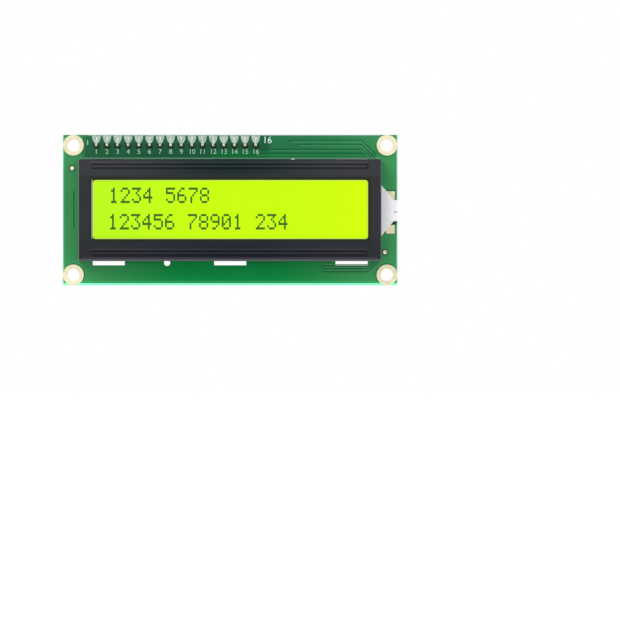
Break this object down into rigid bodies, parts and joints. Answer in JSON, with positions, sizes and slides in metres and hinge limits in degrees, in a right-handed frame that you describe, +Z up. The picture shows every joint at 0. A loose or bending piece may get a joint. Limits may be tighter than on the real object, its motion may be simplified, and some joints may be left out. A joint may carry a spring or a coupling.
{
  "type": "character lcd module",
  "caption": "Two-row character display on a green circuit board with a black steel bezel, mounting holes and a serial interface board on its back.",
  "frame": {"origin": "centre of the four mounting holes, on the front face of the main board", "axes": "-Y out of the display towards the viewer, +X to the viewer's right along the board's long side, +Z up"},
  "size_m": [0.08, 0.0178, 0.036],
  "materials": {
    "green_laminate": "solder-masked glass-fibre laminate, satin gloss",
    "black_laminate": "black solder mask over glass-fibre laminate",
    "black_steel": "black lacquered sheet steel, satin",
    "clear_glass": "clear float glass plate",
    "lit_film": "polarising film over a lit yellow-green cell",
    "clear_acrylic": "milky clear acrylic",
    "white_moulding": "off-white moulded polycarbonate",
    "cream_rubber": "zebra elastomer, cream silicone sides",
    "solder": "bright tin-lead solder",
    "tinned_copper": "hot-tinned copper land, pale and slightly warm",
    "pin_metal": "tin-plated square pin",
    "black_moulding": "glass-filled black nylon",
    "package_epoxy": "transfer-moulded black epoxy, matt",
    "blob_epoxy": "cast black epoxy drop, semi-gloss",
    "trimmer_blue": "blue moulded housing",
    "rotor_grey": "grey moulded rotor",
    "chip_black": "overglazed resistor ceramic",
    "chip_end": "tinned end cap",
    "lamp_lens": "translucent pale lens resin"
  },
  "bodies": {
    "module": {"back_joints": "solder", "backlight_housing": "white_moulding", "backlight_joints": "solder", "backlight_lamp": "lamp_lens", "backlight_pins": "pin_metal", "bezel": "black_steel", "bridge_lands": "tinned_copper", "bus_block": "black_moulding", "bus_pins": "pin_metal", "controller_blob": "blob_epoxy", "deck_chip_caps": "chip_end", "deck_chip_cores": "chip_black", "driver_blob": "blob_epoxy", "elastomer_strips": "cream_rubber", "expander_body": "package_epoxy", "expander_leads": "pin_metal", "front_glass": "clear_glass", "front_joints": "solder", "front_polariser": "lit_film", "header_lands": "tinned_copper", "header_pins": "pin_metal", "header_strip": "black_moulding", "interface_board": "black_laminate", "jumper_block": "black_moulding", "jumper_pins": "pin_metal", "lamp_caps": "chip_end", "lamp_terminals": "tinned_copper", "light_guide": "clear_acrylic", "main_board": "green_laminate", "main_board_lands": "tinned_copper", "main_chip_caps": "chip_end", "main_chip_cores": "chip_black", "mounting_eyelets": "tinned_copper", "power_lamp": "lamp_lens", "rear_glass": "clear_glass", "rear_polariser": "lit_film", "signal_lamp": "lamp_lens", "test_dots": "solder", "transistor_body": "package_epoxy", "transistor_leads": "pin_metal", "trimmer_body": "trimmer_blue", "trimmer_pins": "pin_metal"},
    "rotor": {"trimmer_rotor": "rotor_grey"},
    "jumper": {"jumper_cap": "black_moulding", "jumper_contact": "pin_metal"}
  },
  "joints": [
    {"name": "trimmer_turn", "type": "hinge", "parent": "module", "child": "rotor", "pos_m": [-0.025, 0.0101, 0.0089], "axis": [0, 1, 0], "range_deg": [-115, 115]},
    {"name": "jumper_pull", "type": "slide", "parent": "module", "child": "jumper", "axis": [1, 0, 0], "range_m": [0, 0.006]}
  ]
}
